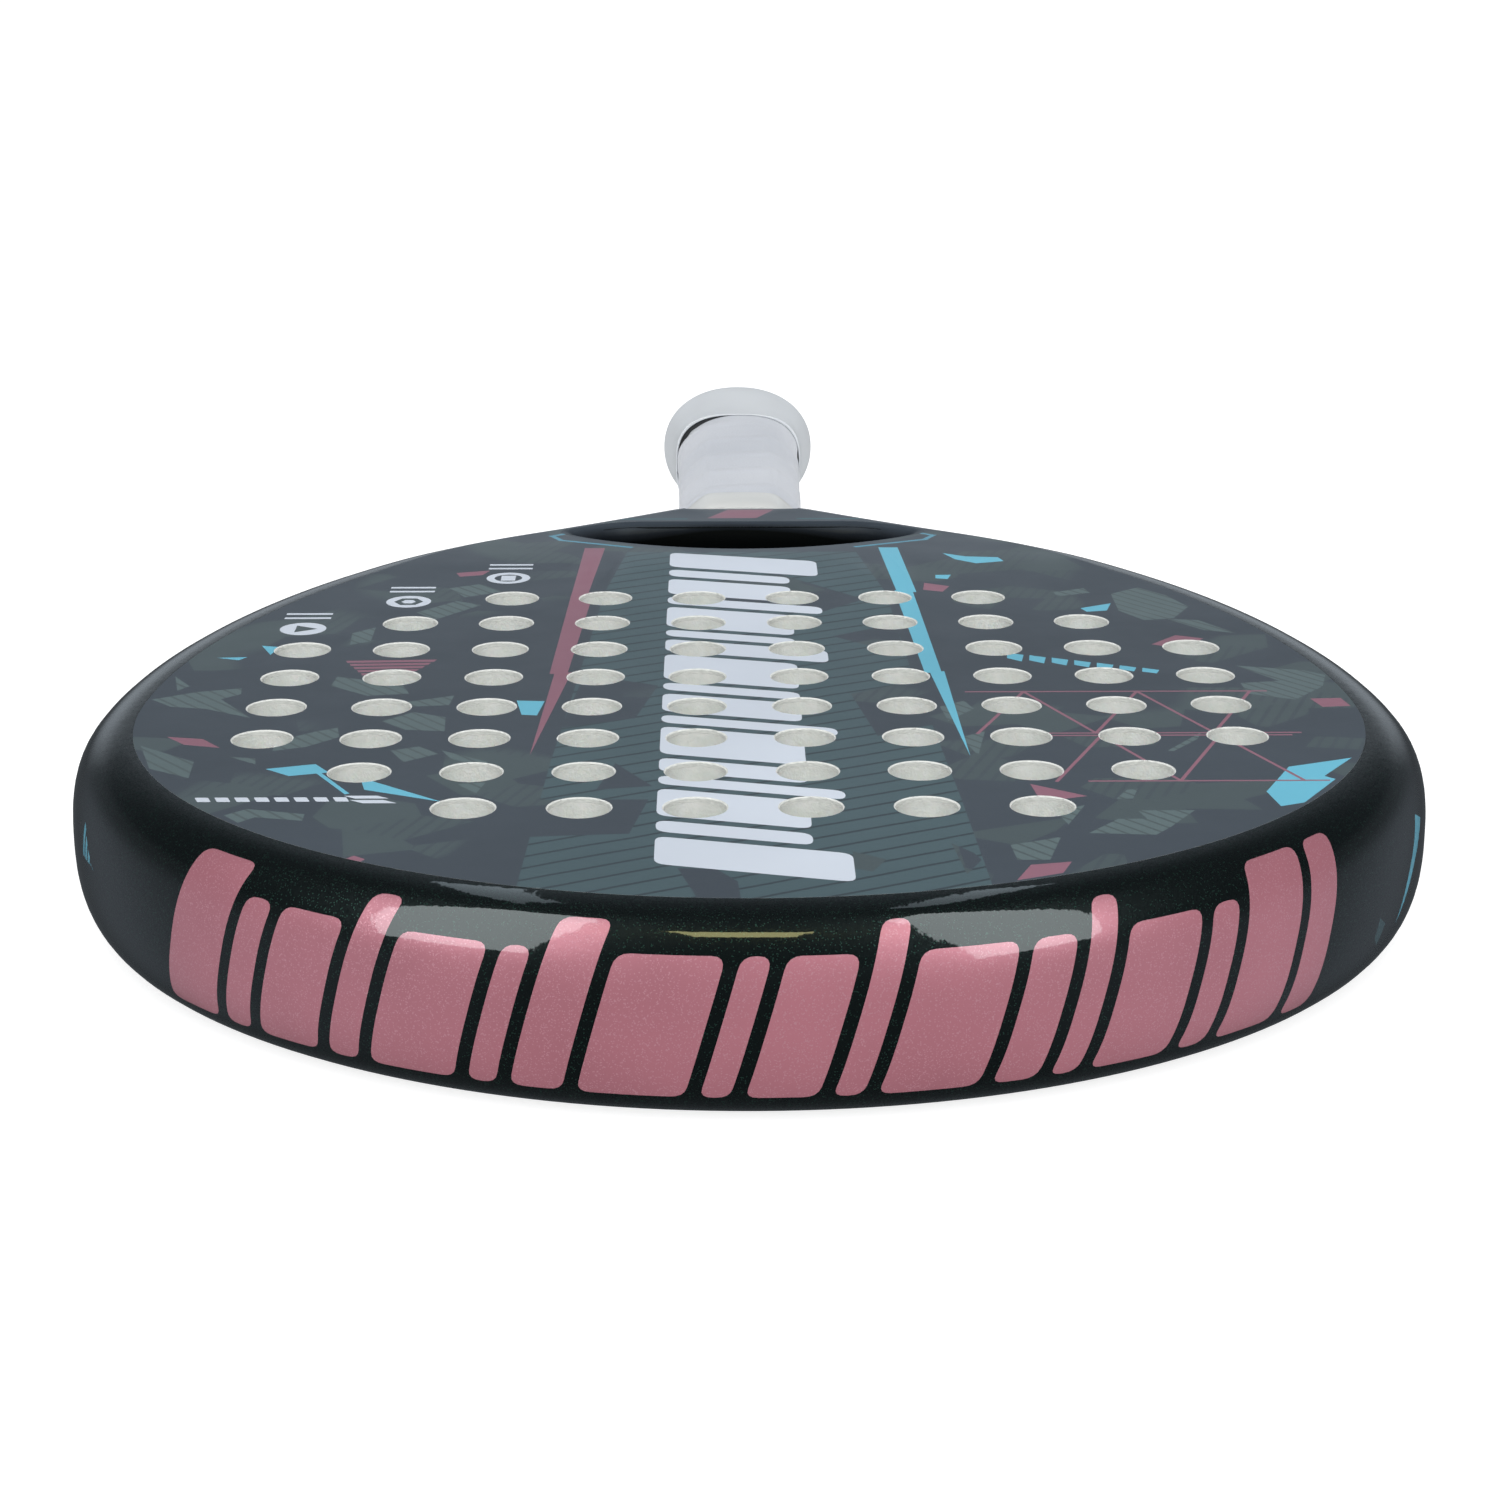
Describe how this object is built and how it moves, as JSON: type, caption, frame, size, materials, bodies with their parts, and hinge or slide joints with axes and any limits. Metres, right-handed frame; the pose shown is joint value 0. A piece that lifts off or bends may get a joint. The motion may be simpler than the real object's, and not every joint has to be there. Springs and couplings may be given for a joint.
{
  "type": "padel racket",
  "caption": "Padel racket with a teardrop head, drilled hitting faces, hollow rim tube, open throat, wrapped grip, butt cap and a wrist cord with an adjuster.",
  "frame": {"origin": "middle of the drilled hole grid, on the outer surface of the back hitting face, which is the plane that the racket lies on", "axes": "+Z is the outward normal of the front hitting face, +Y runs from the tip of the head to the butt, +X is across the head"},
  "size_m": [0.26, 0.579, 0.036],
  "materials": {
    "rim_gloss": "clear gloss lacquer over a black-green metal-flake coat, with rose metallic artwork",
    "face_satin": "satin blue-grey laminate with printed white, rose and cyan blocks",
    "eva_foam": "pale closed-cell foam, seen inside the drilled holes",
    "throat_gloss": "gloss black",
    "handle_foam": "dark rigid foam",
    "handle_laminate": "bare black laminate",
    "base_grip": "black cushioned polyurethane tape",
    "overgrip": "soft tacky pale grey overgrip wound in a helix",
    "finishing_tape": "cream-white vinyl tape, slightly shiny",
    "cap_plastic": "pale moulded plastic",
    "staple_steel": "plain wire",
    "strap_cord": "black braided cord",
    "strap_plastic": "black moulded plastic"
  },
  "bodies": {
    "racket": {"frame_tube": "rim_gloss", "front_face": "face_satin", "back_face": "face_satin", "eva_core": "eva_foam", "throat_bridge": "throat_gloss", "neck_wedge": "throat_gloss", "handle_core": "handle_foam", "handle_sleeve": "handle_laminate", "base_grip": "base_grip", "overgrip": "overgrip", "finishing_tape": "finishing_tape", "butt_cap": "cap_plastic", "cap_badge": "cap_plastic", "cap_staple_front": "staple_steel", "cap_staple_back": "staple_steel"},
    "stopper": {"cord_stopper": "strap_plastic"},
    "strap": {"wrist_strap": "strap_cord"},
    "slider": {"strap_slider": "strap_plastic"}
  },
  "joints": [
    {"name": "strap_twist", "type": "hinge", "parent": "racket", "child": "stopper", "pos_m": [0, 0.3289, 0.018], "axis": [0, 1, 0], "continuous": true},
    {"name": "strap_swing", "type": "hinge", "parent": "stopper", "child": "strap", "pos_m": [0, 0.3289, 0.018], "axis": [1, 0, 0], "range_deg": [-60, 95]},
    {"name": "slider_slide", "type": "slide", "parent": "strap", "child": "slider", "axis": [0, 1, 0], "range_m": [0, 0.02]}
  ]
}
